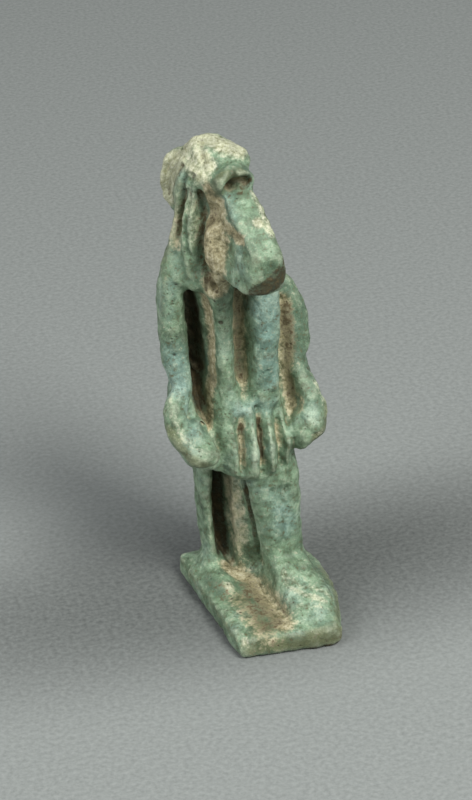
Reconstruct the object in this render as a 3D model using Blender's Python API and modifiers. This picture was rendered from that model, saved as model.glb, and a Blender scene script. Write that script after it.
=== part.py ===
"""Deity amulet: a small moulded faience figure with an animal's head, striding on a base with a back pillar.

The amulet is one piece. It faces -Y, its left side is +X, and it stands on its underside at z = 0. The
overlapping forms are fused and smoothed, the grooves are carved in, and the underside and the back of the
pillar are cut flat. Sizes are in metres.
"""

import math

import bmesh
import bpy
import numpy as np
from mathutils import Matrix, Vector

# Overall height and the base
AMULET_HEIGHT = 0.0387
BASE_FRONT_WIDTH = 0.0078
BASE_REAR_WIDTH = 0.0099
BASE_DEPTH = 0.0143
BASE_FRONT_SKEW = 0.0006
BASE_THICKNESS = 0.0018
BASE_CORNER_ROUND = 0.0006
BASE_BULGE = 0.00135

# Back pillar and the cord hole through it
PILLAR_WIDTH = 0.0036
PILLAR_SETBACK = 0.0002
PILLAR_PROJECTION = 0.0013
PILLAR_TOP = 0.0340
PILLAR_TOP_SLOPE = 0.0016
WEB_THICKNESS = 0.0016
HOLE_DIAMETER = 0.0011
HOLE_HEIGHT = 0.0300

# Wear and fineness of the moulded surface
GRAIN = 0.00024
SMOOTHING_PASSES = 3
SURFACE_TRIANGLES = 9400
WORN_EDGE = 0.00015

# The figure is this many units tall, so a unit is a millimetre on the real amulet
FIGURE_UNITS = 36.9
UNIT = (AMULET_HEIGHT - BASE_THICKNESS) / FIGURE_UNITS
MIDLINE = -0.5 * UNIT

FRONT = Vector((0, -1, 0))
NEAR_SIDE = Vector((-0.86, -0.5, 0))
REAR_EDGE = BASE_DEPTH / 2
PILLAR_BACK = REAR_EDGE - PILLAR_SETBACK
PILLAR_FRONT = PILLAR_BACK - PILLAR_PROJECTION

FAIENCE = ((0.18, 0.27, 0.18, 1), 0.42)


def place(x, y, z):
    """A point of the figure, in units from the middle of the base's top."""
    return Vector((x * UNIT, y * UNIT, BASE_THICKNESS + z * UNIT))


def clear_scene():
    for obj in list(bpy.data.objects):
        bpy.data.objects.remove(obj, do_unlink=True)


def new_collection(name):
    collection = bpy.data.collections.new(name)
    bpy.context.scene.collection.children.link(collection)
    return collection


def mesh_object(name, form, collection):
    bmesh.ops.recalc_face_normals(form, faces=form.faces)
    mesh = bpy.data.meshes.new(name)
    form.to_mesh(mesh)
    form.free()
    obj = bpy.data.objects.new(name, mesh)
    collection.objects.link(obj)
    return obj


def outline(half_width, half_depth, squareness, turn, sides=28):
    """A closed outline between an ellipse (squareness 2) and a rectangle, turned about Z by degrees."""
    power = 2 / squareness
    turned = Matrix.Rotation(math.radians(turn), 2)
    points = []
    for step in range(sides):
        angle = 2 * math.pi * step / sides
        across = math.copysign(abs(math.cos(angle)) ** power, math.cos(angle))
        along = math.copysign(abs(math.sin(angle)) ** power, math.sin(angle))
        points.append(turned @ Vector((half_width * across, half_depth * along)))
    return points


def stack(form, rows, squareness=2.4, turn=0):
    """Lofts level sections, each x, y, z, half width and half depth in units, into a closed body."""
    rings = []
    for x, y, z, half_width, half_depth in rows:
        ring = []
        for point in outline(half_width * UNIT, half_depth * UNIT, squareness, turn):
            ring.append(form.verts.new(place(x, y, z) + point.to_3d()))
        rings.append(ring)
    for low, high in zip(rings, rings[1:]):
        for i, corner in enumerate(low):
            after = (i + 1) % len(low)
            form.faces.new((corner, low[after], high[after], high[i]))
    form.faces.new(rings[0])
    form.faces.new(rings[-1])


def knob(form, centre, half_sizes, turn=0):
    """An ellipsoid, in units."""
    scale = Matrix.Diagonal((*[size * UNIT for size in half_sizes], 1))
    turned = Matrix.Rotation(math.radians(turn), 4, "Z")
    where = Matrix.Translation(place(*centre)) @ turned @ scale
    bmesh.ops.create_uvsphere(form, u_segments=20, v_segments=12, radius=1, matrix=where)


def limb(form, rows):
    """A round limb through points, each x, y, z and radius in units, made from a curve with a bevel."""
    curve = bpy.data.curves.new("limb", "CURVE")
    curve.dimensions = "3D"
    curve.bevel_depth = UNIT
    curve.bevel_resolution = 5
    curve.use_fill_caps = True
    spline = curve.splines.new("NURBS")
    spline.points.add(len(rows) - 1)
    for point, (x, y, z, radius) in zip(spline.points, rows):
        point.co = (*place(x, y, z), 1)
        point.radius = radius
    spline.order_u = 3
    spline.use_endpoint_u = True
    holder = bpy.data.objects.new("limb", curve)
    bpy.context.scene.collection.objects.link(holder)
    bpy.context.view_layer.update()
    tube = holder.evaluated_get(bpy.context.evaluated_depsgraph_get()).to_mesh()
    form.from_mesh(tube)
    bpy.data.objects.remove(holder, do_unlink=True)
    bpy.data.curves.remove(curve)
    for x, y, z, radius in (rows[0], rows[-1]):
        knob(form, (x, y, z), (radius, radius, radius))


def box(form, low, high):
    """A box between two corners, in metres."""
    low, high = Vector(low), Vector(high)
    size = high - low
    where = Matrix.Translation((low + high) / 2) @ Matrix.Diagonal((*size, 1))
    return bmesh.ops.create_cube(form, size=1, matrix=where)["verts"]


def add_base(form):
    """The tapered base, its front edge a little askew, its underside left full for the cut."""
    corners = box(
        form,
        (-BASE_REAR_WIDTH / 2, -BASE_DEPTH / 2, -WORN_EDGE),
        (BASE_REAR_WIDTH / 2, REAR_EDGE, BASE_THICKNESS),
    )
    for corner in corners:
        if corner.co.y < 0:
            corner.co.y -= math.copysign(BASE_FRONT_SKEW / 2, corner.co.x)
            corner.co.x = math.copysign(BASE_FRONT_WIDTH / 2, corner.co.x)
    upright = [
        edge
        for edge in form.edges
        if edge.verts[0] in corners and abs(edge.verts[0].co.z - edge.verts[1].co.z) > BASE_THICKNESS / 2
    ]
    bmesh.ops.bevel(form, geom=upright, offset=BASE_CORNER_ROUND, segments=4, profile=0.5, affect="EDGES")


def add_base_bulge(form):
    """The base swells outward a little beside the front foot, lower toward its rim."""
    underside = -BASE_THICKNESS / UNIT
    rim = 0.4
    half_width = 2.4
    half_depth = BASE_DEPTH / UNIT / 2 - rim
    centre = (BASE_FRONT_WIDTH / 2 + BASE_BULGE) / UNIT - half_width
    stack(
        form,
        (
            (centre, -rim, underside, half_width, half_depth),
            (centre, -rim, -0.3, half_width, half_depth),
            (centre, -rim, 0.05, half_width - rim, half_depth - rim),
        ),
        squareness=2.2,
        turn=-2,
    )


def add_pillar(form):
    """The back pillar, from the base to the back of the wig, its top sloping down behind."""
    corners = box(
        form,
        (MIDLINE - PILLAR_WIDTH / 2, PILLAR_FRONT - WEB_THICKNESS, BASE_THICKNESS / 2),
        (MIDLINE + PILLAR_WIDTH / 2, PILLAR_BACK + WORN_EDGE, PILLAR_TOP),
    )
    for corner in corners:
        if corner.co.y > PILLAR_FRONT and corner.co.z > BASE_THICKNESS:
            corner.co.z -= PILLAR_TOP_SLOPE


def add_webs(form):
    """The web behind the body and between the legs, and the solid backs of the arms and hands."""
    half = WEB_THICKNESS / UNIT / 2
    back = PILLAR_FRONT / UNIT - half
    stack(
        form,
        (
            (-0.2, back, -0.4, 3.4, half),
            (-0.3, back, 8.0, 3.5, half),
            (-0.4, back, 11.0, 4.0, half),
            (-0.3, back, 13.5, 4.5, half),
            (-0.5, back, 21.0, 4.9, half),
            (-0.9, back, 24.5, 4.2, half),
            (-1.1, back, 27.0, 3.2, half),
            (-1.3, back, 29.5, 2.2, half),
        ),
        squareness=4,
    )
    stack(
        form,
        (
            (0.6, 4.2, -0.4, 1.5, 2.2),
            (0.5, 4.2, 4.0, 1.4, 2.2),
            (0.45, 4.1, 11.0, 1.4, 2.1),
        ),
        squareness=4,
        turn=-24,
    )
    stack(
        form,
        (
            (2.9, 3.0, 11.0, 0.9, 1.7),
            (3.3, 2.7, 13.0, 1.15, 2.4),
            (3.4, 3.0, 16.5, 1.15, 2.1),
            (3.4, 3.2, 19.0, 1.0, 2.0),
            (3.2, 3.5, 22.5, 0.9, 1.7),
        ),
        squareness=2.4,
    )
    stack(
        form,
        (
            (-2.9, 2.2, 10.6, 0.7, 2.2),
            (-3.9, 1.8, 11.8, 1.2, 2.8),
            (-4.4, 2.2, 13.6, 1.3, 2.5),
            (-4.6, 2.9, 16.0, 1.2, 2.1),
            (-4.2, 3.6, 17.6, 0.9, 1.6),
        ),
        squareness=2.6,
    )
    stack(
        form,
        (
            (-3.5, 3.5, 11.2, 0.6, 1.5),
            (-4.4, 3.4, 13.0, 0.8, 2.1),
            (-4.4, 3.6, 17.6, 0.75, 1.9),
            (-5.15, 3.6, 20.3, 0.85, 1.8),
            (-5.0, 3.6, 24.8, 0.95, 1.8),
            (-4.4, 3.8, 26.8, 0.8, 1.3),
        ),
        squareness=2.4,
    )
    stack(
        form,
        (
            (3.6, 2.9, 11.3, 0.6, 1.6),
            (4.1, 2.5, 12.6, 0.8, 2.5),
            (4.3, 2.7, 15.0, 0.8, 2.6),
            (4.1, 3.3, 17.8, 0.75, 2.0),
            (4.25, 3.6, 20.5, 0.75, 1.8),
            (3.8, 3.6, 23.0, 0.9, 1.8),
            (2.9, 3.7, 24.4, 0.8, 1.5),
        ),
        squareness=2.4,
    )


def add_legs(form):
    stack(
        form,
        (
            (-2.95, 4.5, -0.3, 0.55, 1.5),
            (-2.95, 4.5, 1.2, 0.5, 1.45),
            (-3.05, 4.5, 3.2, 0.5, 1.5),
            (-3.2, 4.4, 6.8, 0.55, 1.7),
            (-3.2, 4.2, 11.0, 0.65, 2.0),
        ),
    )
    stack(
        form,
        (
            (1.85, 0.9, -0.3, 1.65, 2.2),
            (1.7, 1.0, 1.6, 1.6, 1.8),
            (1.55, 1.0, 3.5, 1.75, 1.7),
            (1.25, 0.9, 7.0, 2.0, 1.7),
            (1.0, 1.0, 9.5, 2.15, 2.0),
            (0.8, 1.4, 11.5, 2.3, 2.4),
        ),
        squareness=3.2,
    )


def add_feet(form):
    """The rear foot is worn almost flat. The front foot slopes to broad toes at the front of the base."""
    stack(
        form,
        (
            (-3.0, 3.0, -0.4, 1.25, 3.4),
            (-3.0, 3.1, 0.25, 1.15, 3.1),
            (-2.9, 3.9, 0.7, 0.9, 2.1),
            (-2.85, 4.5, 1.2, 0.75, 1.4),
        ),
        turn=2,
    )
    stack(
        form,
        (
            (2.3, -2.05, -0.4, 2.05, 4.4),
            (2.3, -2.0, 0.45, 2.0, 4.3),
            (2.25, -1.4, 0.95, 1.85, 3.6),
            (2.05, -0.4, 1.65, 1.65, 2.4),
            (1.85, 0.2, 2.5, 1.45, 1.7),
        ),
        squareness=3.6,
        turn=2,
    )


def add_kilt(form):
    stack(
        form,
        (
            (-0.1, 1.9, 10.2, 2.5, 3.1),
            (-0.15, 1.7, 10.9, 2.9, 3.4),
            (-0.2, 1.7, 12.5, 3.0, 3.3),
            (-0.3, 2.1, 14.5, 2.95, 2.95),
            (-0.45, 2.5, 16.3, 2.8, 2.75),
            (-0.5, 2.6, 17.3, 2.5, 2.5),
        ),
        squareness=2.8,
    )


def add_torso(form):
    """The body, with an upright ridge on each side of the furrow down its front, and the shoulders."""
    stack(
        form,
        (
            (-0.4, 3.3, 15.5, 2.6, 2.5),
            (-0.4, 3.3, 19.0, 2.6, 2.3),
            (-0.45, 3.2, 23.0, 2.65, 2.3),
            (-0.9, 3.2, 25.2, 2.9, 2.4),
            (-1.1, 3.2, 26.8, 2.6, 2.2),
        ),
        squareness=3.2,
    )
    stack(
        form,
        (
            (-1.85, 1.4, 15.8, 0.75, 1.6),
            (-1.85, 1.4, 19.0, 0.6, 1.6),
            (-1.85, 1.4, 22.5, 0.65, 1.7),
            (-1.95, 1.2, 25.6, 1.1, 1.8),
        ),
        squareness=2.6,
        turn=-12,
    )
    stack(
        form,
        (
            (0.9, 1.2, 15.8, 1.2, 1.7),
            (1.05, 1.1, 19.0, 1.05, 1.7),
            (1.2, 1.1, 22.5, 1.1, 1.8),
            (1.25, 1.2, 25.6, 1.15, 1.8),
        ),
        squareness=3,
    )
    shoulders = ((-4.6, 2.5, 26.7, 1.2), (-2.8, 2.1, 26.5, 1.6), (0.8, 3.0, 24.9, 1.5), (3.2, 3.2, 23.0, 1.0))
    limb(form, shoulders)


def add_arms(form):
    """The arms hang at the sides. Both fists are pushed forward and in against the kilt."""
    limb(
        form,
        (
            (-4.9, 2.8, 27.0, 1.0),
            (-5.15, 2.5, 25.0, 1.0),
            (-5.3, 2.3, 22.0, 1.05),
            (-5.4, 2.2, 19.9, 1.1),
            (-5.35, 1.8, 19.0, 1.0),
            (-5.0, 1.1, 17.7, 0.75),
            (-6.15, 0.2, 16.6, 0.9),
            (-6.2, -0.5, 15.0, 0.9),
            (-5.4, -1.2, 13.9, 0.95),
            (-4.2, -1.7, 13.3, 0.95),
        ),
    )
    limb(
        form,
        (
            (3.4, 3.0, 23.7, 0.9),
            (4.15, 2.8, 22.3, 0.9),
            (4.3, 2.5, 20.4, 0.85),
            (4.35, 2.2, 19.0, 0.85),
            (3.4, 1.4, 18.0, 0.6),
            (4.1, 0.8, 16.9, 0.75),
            (4.6, -0.2, 15.2, 0.85),
            (4.3, -0.7, 13.8, 1.0),
            (3.3, -0.9, 13.0, 0.95),
        ),
    )
    knob(form, (-4.7, -1.2, 13.4), (1.4, 1.5, 1.15), turn=-25)
    knob(form, (-4.9, -0.2, 14.2), (1.25, 1.5, 1.2), turn=-20)
    knob(form, (4.0, -0.4, 13.7), (1.25, 1.4, 1.4))
    knob(form, (3.0, -0.4, 12.6), (1.0, 1.3, 1.1))


def add_head(form):
    """The heavy wig, the brow band with a hollow under it, and the muzzle turned a little to its left."""
    stack(
        form,
        (
            (-1.0, 3.0, 26.6, 3.4, 2.2),
            (-1.2, 2.9, 28.2, 3.1, 2.3),
            (-1.35, 3.0, 29.7, 2.4, 2.3),
            (-1.6, 3.1, 31.0, 2.6, 2.7),
            (-1.9, 3.0, 32.6, 3.0, 3.2),
            (-1.8, 2.8, 34.2, 2.8, 3.3),
            (-1.7, 2.5, 35.3, 2.3, 2.8),
            (-1.7, 2.3, 36.15, 1.7, 2.0),
            (-1.75, 2.2, 36.65, 1.0, 1.3),
        ),
        turn=8,
    )
    knob(form, (-3.3, 4.2, 32.7), (1.75, 1.9, 2.8), turn=10)
    knob(form, (-2.3, 2.4, 35.8), (1.25, 1.5, 1.15), turn=10)
    knob(form, (-0.9, 0.9, 35.4), (1.7, 1.5, 1.2), turn=10)
    limb(
        form,
        (
            (-2.2, -0.3, 33.8, 0.6),
            (-2.15, -0.9, 34.4, 0.75),
            (-1.7, -1.1, 35.1, 0.85),
            (-0.8, -1.1, 35.1, 0.85),
            (-0.1, -0.8, 34.6, 0.8),
            (0.1, -0.1, 34.0, 0.7),
        ),
    )
    stack(
        form,
        (
            (-1.2, 0.7, 28.5, 2.0, 1.9),
            (-1.2, 0.6, 31.5, 1.9, 1.8),
            (-1.2, 0.8, 34.4, 1.7, 1.6),
        ),
        turn=8,
    )
    add_muzzle(form)


def add_muzzle(form):
    """A long ridge from the brow to the tip, on a broad blunt jaw that overhangs the chest."""
    for side in (-0.6, -0.1, 0.4):
        limb(
            form,
            (
                (-0.9 + side, -0.3, 33.9, 0.75),
                (-0.65 + side, -1.7, 33.0, 0.85),
                (-0.3 + side, -3.2, 31.7, 0.85),
                (0.0 + side, -4.8, 30.2, 0.85),
            ),
        )
    stack(
        form,
        (
            (-0.55, -2.6, 27.35, 1.4, 2.3),
            (-0.5, -2.8, 27.6, 1.65, 2.7),
            (-0.4, -2.9, 28.8, 1.6, 2.85),
            (-0.4, -2.7, 29.9, 1.5, 2.85),
            (-0.6, -1.9, 31.0, 1.3, 2.5),
            (-0.8, -1.0, 32.3, 1.2, 2.1),
            (-0.95, -0.2, 33.6, 1.1, 1.5),
        ),
        squareness=4,
        turn=9,
    )


def add_lappets(form):
    """The front fall of the wig on each side of the muzzle, and the locks over the shoulder."""
    near_fall = ((-2.2, 0.2, 33, 0.7), (-2.4, -0.3, 30.8, 1), (-2.45, -0.5, 28.6, 1.1), (-2.3, 0.3, 25.9, 1))
    far_fall = ((0.2, 0.9, 32.6, 0.8), (0.7, 0.4, 30.4, 1), (1, 0.7, 27.8, 1), (1, 1.1, 25.6, 0.9))
    front_lock = ((-3.2, 0.8, 35, 0.6), (-3.75, 1.1, 31.5, 0.6), (-4, 1, 28.4, 0.65), (-3.6, 1.2, 26, 0.6))
    rear_lock = ((-3.7, 2.4, 34.4, 0.55), (-4.1, 2.6, 31.2, 0.6), (-4.5, 2.5, 29.6, 0.7), (-5, 2.6, 27, 1))
    for lock in (near_fall, far_fall, front_lock, rear_lock):
        limb(form, lock)


def fused(form, collection):
    """One closed skin around all the overlapping forms, a little worn."""
    obj = mesh_object("amulet", form, collection)
    skin = obj.modifiers.new("Fuse", "REMESH")
    skin.mode = "VOXEL"
    skin.voxel_size = GRAIN
    wear = obj.modifiers.new("Wear", "SMOOTH")
    wear.factor = 0.5
    wear.iterations = SMOOTHING_PASSES
    bpy.context.view_layer.update()
    graph = bpy.context.evaluated_depsgraph_get()
    mesh = bpy.data.meshes.new_from_object(obj.evaluated_get(graph))
    obj.modifiers.clear()
    obj.data = mesh
    return obj


def carve(points, normals, path, facing, width, depth, reach=2.2):
    """Sinks a groove along a path of figure points, or raises a ridge where the depth is negative. Units."""
    facing = np.array(facing.normalized())
    path = np.array([place(*point) for point in path])
    nearest = np.full(len(points), np.inf)
    offset = np.zeros(len(points))
    flat = points - np.outer(points @ facing, facing)
    for start, end in zip(path, path[1:]):
        run = (end - start) - ((end - start) @ facing) * facing
        share = np.clip((flat - start) @ run / (run @ run), 0, 1)
        foot = start + np.outer(share, end - start)
        gap = points - foot
        ahead = gap @ facing
        away = np.linalg.norm(gap - np.outer(ahead, facing), axis=1)
        closer = away < nearest
        nearest[closer] = away[closer]
        offset[closer] = ahead[closer]
    weight = np.exp(-((nearest / (width * UNIT)) ** 4))
    weight *= np.clip(2 * (normals @ facing), 0, 1)
    weight *= np.clip(2 - np.abs(offset) / (reach * UNIT), 0, 1)
    points -= np.outer(weight * depth * UNIT, facing)


def carve_torso(points, normals):
    """The furrow down the body and the deep gaps beside the arms."""
    carve(points, normals, ((-0.45, 0.9, 24.8), (-0.55, 0.9, 20.5), (-0.6, 0.6, 16.4)), FRONT, 0.55, 0.9)
    beside_near_arm = ((-3.85, 1.5, 24.6), (-3.75, 2.5, 20), (-3.75, 1, 14.6))
    carve(points, normals, beside_near_arm, FRONT, 0.55, 1.1, reach=1.8)
    beside_far_arm = ((2.8, 1.5, 23.0), (2.9, 1, 20), (3.0, 0.5, 14.5))
    carve(points, normals, beside_far_arm, FRONT, 0.4, 0.3, reach=1.8)


def carve_legs(points, normals):
    """The gap between the rear leg and the web, and the step where the web meets the front leg."""
    carve(points, normals, ((-2.15, 4.2, 9.8), (-2.1, 4.3, 1.0)), FRONT, 0.5, 0.85, reach=1.8)
    carve(points, normals, ((-0.75, 0.9, 9.8), (-0.1, 1.1, 1.0)), NEAR_SIDE, 0.42, 0.8)


def carve_pleats(points, normals):
    """Uneven pleats fan out from the belt, each with the place of its top and foot and its depth."""
    for top, foot, depth in (
        ((-1.15, 15.1), (-1.5, 11.1), 0.85),
        ((0.1, 15.5), (0.05, 10.7), 0.85),
        ((1.6, 15.3), (1.45, 10.8), 0.7),
        ((2.6, 13.9), (2.75, 11.2), 0.5),
    ):
        carve(points, normals, ((top[0], -0.6, top[1]), (foot[0], -1.4, foot[1])), FRONT, 0.36, depth)


def carve_wig(points, normals):
    """Locks fall from the crown. The deepest groove parts the front fall from the shoulder locks."""
    front_side = Vector((-0.6, -0.8, 0))
    deep = ((-3.0, 0.6, 33.6), (-3.1, 0.3, 31.0), (-3.35, 0.1, 28.6), (-3.0, -0.1, 27.2), (-2.6, -0.3, 26.2))
    carve(points, normals, deep, front_side, 0.34, 0.9)
    carve(points, normals, ((-3.65, 1.4, 33.4), (-4.2, 1.9, 31.3), (-4.3, 2.0, 29.9)), NEAR_SIDE, 0.28, 0.5)
    carve(points, normals, ((-4.1, 2.6, 34.9), (-4.35, 3.2, 33.5), (-4.45, 3.6, 32.2)), NEAR_SIDE, 0.28, 0.4)
    carve(points, normals, ((-2.45, -0.4, 32.4), (-2.6, -0.4, 31.9)), front_side, 0.5, 0.6)
    band = ((-2.3, -1.0, 33.6), (-1.85, -2.6, 32.1), (-1.2, -4.4, 30.7))
    carve(points, normals, band, front_side, 0.35, 0.3)
    carve(points, normals, ((-1.3, -1.8, 34.5), (-0.4, -1.8, 34.5)), FRONT, 0.62, 1.2)
    carve(points, normals, ((-1.3, -1.6, 36.1), (-1.3, -1.9, 35.3)), FRONT, 0.24, 0.4)
    for step in range(6):
        angle = math.radians(112 + 24 * step)
        away = Vector((-math.sin(angle), -math.cos(angle), 0))
        path = []
        for z, out in ((35.6, 2.4), (33.5, 3.2), (31.5, 3.0), (29.5, 2.6)):
            path.append((-1.6 + out * away.x, 2.9 + out * away.y, z))
        carve(points, normals, path, away, 0.3, 0.3)


def carve_all(mesh):
    count = len(mesh.vertices)
    points = np.empty(count * 3)
    normals = np.empty(count * 3)
    mesh.vertices.foreach_get("co", points)
    mesh.vertices.foreach_get("normal", normals)
    points = points.reshape(-1, 3)
    normals = normals.reshape(-1, 3)
    carve_torso(points, normals)
    carve_legs(points, normals)
    carve_pleats(points, normals)
    carve_wig(points, normals)
    mesh.vertices.foreach_set("co", points.ravel())
    mesh.update()


def thin_out(obj):
    """Fewer triangles where the surface is calm."""
    obj.data.calc_loop_triangles()
    thin = obj.modifiers.new("Thin out", "DECIMATE")
    thin.ratio = min(1, SURFACE_TRIANGLES / len(obj.data.loop_triangles))
    thin.use_collapse_triangulate = True
    bpy.context.view_layer.update()
    graph = bpy.context.evaluated_depsgraph_get()
    mesh = bpy.data.meshes.new_from_object(obj.evaluated_get(graph))
    obj.modifiers.clear()
    obj.data = mesh


def cut_flat(obj, point, outward):
    """Cuts the piece flat and closes the cut with one face."""
    form = bmesh.new()
    form.from_mesh(obj.data)
    everything = form.verts[:] + form.edges[:] + form.faces[:]
    bmesh.ops.bisect_plane(
        form, geom=everything, dist=1e-7, plane_co=point, plane_no=outward, clear_outer=True
    )
    open_edges = [edge for edge in form.edges if edge.is_boundary]
    bmesh.ops.edgeloop_fill(form, edges=open_edges)
    bmesh.ops.triangulate(form, faces=[face for face in form.faces if len(face.verts) > 4])
    bmesh.ops.recalc_face_normals(form, faces=form.faces)
    form.to_mesh(obj.data)
    form.free()


def cut_cord_hole(obj, cutters):
    """A level hole for the cord, crossing the pillar behind the neck."""
    form = bmesh.new()
    centre = Vector((MIDLINE, PILLAR_FRONT, HOLE_HEIGHT))
    where = Matrix.Translation(centre) @ Matrix.Rotation(math.pi / 2, 4, "Y")
    bmesh.ops.create_cone(
        form,
        cap_ends=True,
        segments=20,
        radius1=HOLE_DIAMETER / 2,
        radius2=HOLE_DIAMETER / 2,
        depth=3 * PILLAR_WIDTH,
        matrix=where,
    )
    cutter = mesh_object("cord_hole", form, cutters)
    cutter.hide_render = True
    cutter.display_type = "WIRE"
    hole = obj.modifiers.new("Cord hole", "BOOLEAN")
    hole.operation = "DIFFERENCE"
    hole.solver = "EXACT"
    hole.object = cutter


def faience():
    colour, roughness = FAIENCE
    material = bpy.data.materials.new("faience")
    material.diffuse_color = colour
    material.use_nodes = True
    shader = material.node_tree.nodes["Principled BSDF"]
    shader.inputs["Base Color"].default_value = colour
    shader.inputs["Roughness"].default_value = roughness
    shader.inputs["Metallic"].default_value = 0
    return material


def build():
    clear_scene()
    parts = new_collection("deity_amulet")
    cutters = new_collection("cutters")
    form = bmesh.new()
    add_base(form)
    add_base_bulge(form)
    add_pillar(form)
    add_webs(form)
    add_legs(form)
    add_feet(form)
    add_kilt(form)
    add_torso(form)
    add_arms(form)
    add_head(form)
    add_lappets(form)
    amulet = fused(form, parts)
    carve_all(amulet.data)
    thin_out(amulet)
    cut_flat(amulet, (0, 0, 0), (0, 0, -1))
    cut_flat(amulet, (0, PILLAR_BACK, 0), (0, 1, 0))
    amulet.data.materials.clear()
    amulet.data.materials.append(faience())
    amulet.data.shade_smooth()
    amulet.data.set_sharp_from_angle(angle=math.radians(50))
    cut_cord_hole(amulet, cutters)


build()
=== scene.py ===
"""The looks of the deity amulet: its worn carving, the faience glaze, the dirt in its hollows, and painted
shade and highlights on it.

The amulet is one moulded piece, so one fine skin stands for the one CAD solid. Places on the figure are
given in millimetres from the middle of the top of the base, as x, y and height.
"""

import math

import bpy
import numpy as np
from mathutils import Matrix, Vector, noise
from mathutils.bvhtree import BVHTree


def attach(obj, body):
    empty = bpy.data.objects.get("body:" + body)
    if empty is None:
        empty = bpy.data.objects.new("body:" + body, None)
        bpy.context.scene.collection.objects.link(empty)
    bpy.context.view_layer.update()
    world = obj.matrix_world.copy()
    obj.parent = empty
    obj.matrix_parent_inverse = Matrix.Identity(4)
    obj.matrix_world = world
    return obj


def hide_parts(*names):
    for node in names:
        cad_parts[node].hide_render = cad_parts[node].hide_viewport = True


# Lengths in metres.
MM = 0.001
BASE_TOP = 0.0018
FINE_GRAIN = 0.000115
STANDING_SKIM = 0.00002
RAY_START = 0.00006

MOST_TRIANGLES = 188000

FRONT = (0, -1, 0)
UP = (0, 0, 1)
NEAR_FRONT = (-0.6, -0.8, 0)
NEAR_SIDE = (-0.86, -0.5, 0)
FAR_SIDE = (0.86, -0.5, 0)
HEAD_MIDDLE = -1.7

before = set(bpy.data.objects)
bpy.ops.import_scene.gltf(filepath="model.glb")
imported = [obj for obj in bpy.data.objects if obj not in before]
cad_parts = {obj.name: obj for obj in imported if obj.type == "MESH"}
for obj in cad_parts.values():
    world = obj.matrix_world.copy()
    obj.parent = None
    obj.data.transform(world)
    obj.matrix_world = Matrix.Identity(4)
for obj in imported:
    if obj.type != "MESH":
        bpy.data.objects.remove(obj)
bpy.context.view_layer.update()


def spot(place):
    """A place on the figure as a point in the row frame, in metres."""
    x, y, z = place
    return np.array((x * MM, y * MM, BASE_TOP + z * MM))


# Fine skin


def apply_modifiers(skin):
    bpy.context.view_layer.update()
    graph = bpy.context.evaluated_depsgraph_get()
    mesh = bpy.data.meshes.new_from_object(skin.evaluated_get(graph))
    skin.modifiers.clear()
    skin.data = mesh


def fine_copy(node):
    """A copy of the CAD solid with small even faces."""
    mesh = node.data.copy()
    mesh.materials.clear()
    skin = bpy.data.objects.new("amulet_fine", mesh)
    bpy.context.scene.collection.objects.link(skin)
    fuse = skin.modifiers.new("Fuse", "REMESH")
    fuse.mode = "VOXEL"
    fuse.voxel_size = FINE_GRAIN
    fuse.use_smooth_shade = True
    apply_modifiers(skin)
    return skin


def read_points(mesh):
    points = np.empty(len(mesh.vertices) * 3)
    mesh.vertices.foreach_get("co", points)
    return points.reshape(-1, 3)


def read_normals(mesh):
    normals = np.empty(len(mesh.vertices) * 3)
    mesh.vertices.foreach_get("normal", normals)
    return normals.reshape(-1, 3)


def write_points(mesh, points):
    mesh.vertices.foreach_set("co", points.ravel())
    mesh.update()


def edges_of(mesh):
    edges = np.empty(len(mesh.edges) * 2, np.int64)
    mesh.edges.foreach_get("vertices", edges)
    return edges.reshape(-1, 2)


def relax(values, edges, times, factor=0.5):
    """Values, one row a vertex, evened out with their neighbours."""
    count = len(values)
    first, second = edges[:, 0], edges[:, 1]
    degree = np.bincount(first, minlength=count) + np.bincount(second, minlength=count)
    values = values.copy()
    for _ in range(times):
        for k in range(values.shape[1]):
            column = values[:, k]
            total = np.bincount(first, column[second], count)
            total = total + np.bincount(second, column[first], count)
            values[:, k] = column + factor * (total / degree - column)
    return values


def carve(points, normals, path, facing, width, depth, reach=1.2, sharp=4):
    """Sinks a groove along a path, or raises a ridge where the depth is negative. Millimetres.

    The skin moves against the facing direction, where it faces that way and is within reach of the path.
    """
    facing = np.array(facing) / np.linalg.norm(facing)
    path = np.array([spot(place) for place in path])
    nearest = np.full(len(points), np.inf)
    offset = np.zeros(len(points))
    flat = points - np.outer(points @ facing, facing)
    for start, end in zip(path, path[1:]):
        run = (end - start) - ((end - start) @ facing) * facing
        share = np.clip((flat - start) @ run / (run @ run), 0, 1)
        foot = start + np.outer(share, end - start)
        gap = points - foot
        ahead = gap @ facing
        away = np.linalg.norm(gap - np.outer(ahead, facing), axis=1)
        closer = away < nearest
        nearest[closer] = away[closer]
        offset[closer] = ahead[closer]
    weight = np.exp(-((nearest / (width * MM)) ** sharp))
    turned_to = np.clip(2.5 * (normals @ facing), 0, 1)
    within = np.clip(2 - np.abs(offset) / (reach * MM), 0, 1)
    points -= np.outer(weight * turned_to * within * depth * MM, facing)


def swell(points, centre, size, push):
    """Moves the skin round a place by push, fading out at the given size in x, y and height. Millimetres."""
    away = (points - spot(centre)) / (np.array(size) * MM)
    weight = np.exp(-((away**2).sum(axis=1)) ** 1.5)
    points += np.outer(weight, np.array(push) * MM)


def soften(points, edges, places, times):
    """The skin evened out round some places, each a centre and a size in x, y and height. Millimetres."""
    even = relax(points, edges, times)
    share = np.zeros(len(points))
    for centre, size in places:
        away = (points - spot(centre)) / (np.array(size) * MM)
        share = np.maximum(share, np.exp(-((away**2).sum(axis=1)) ** 1.5))
    return points + share[:, None] * (even - points)


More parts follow.
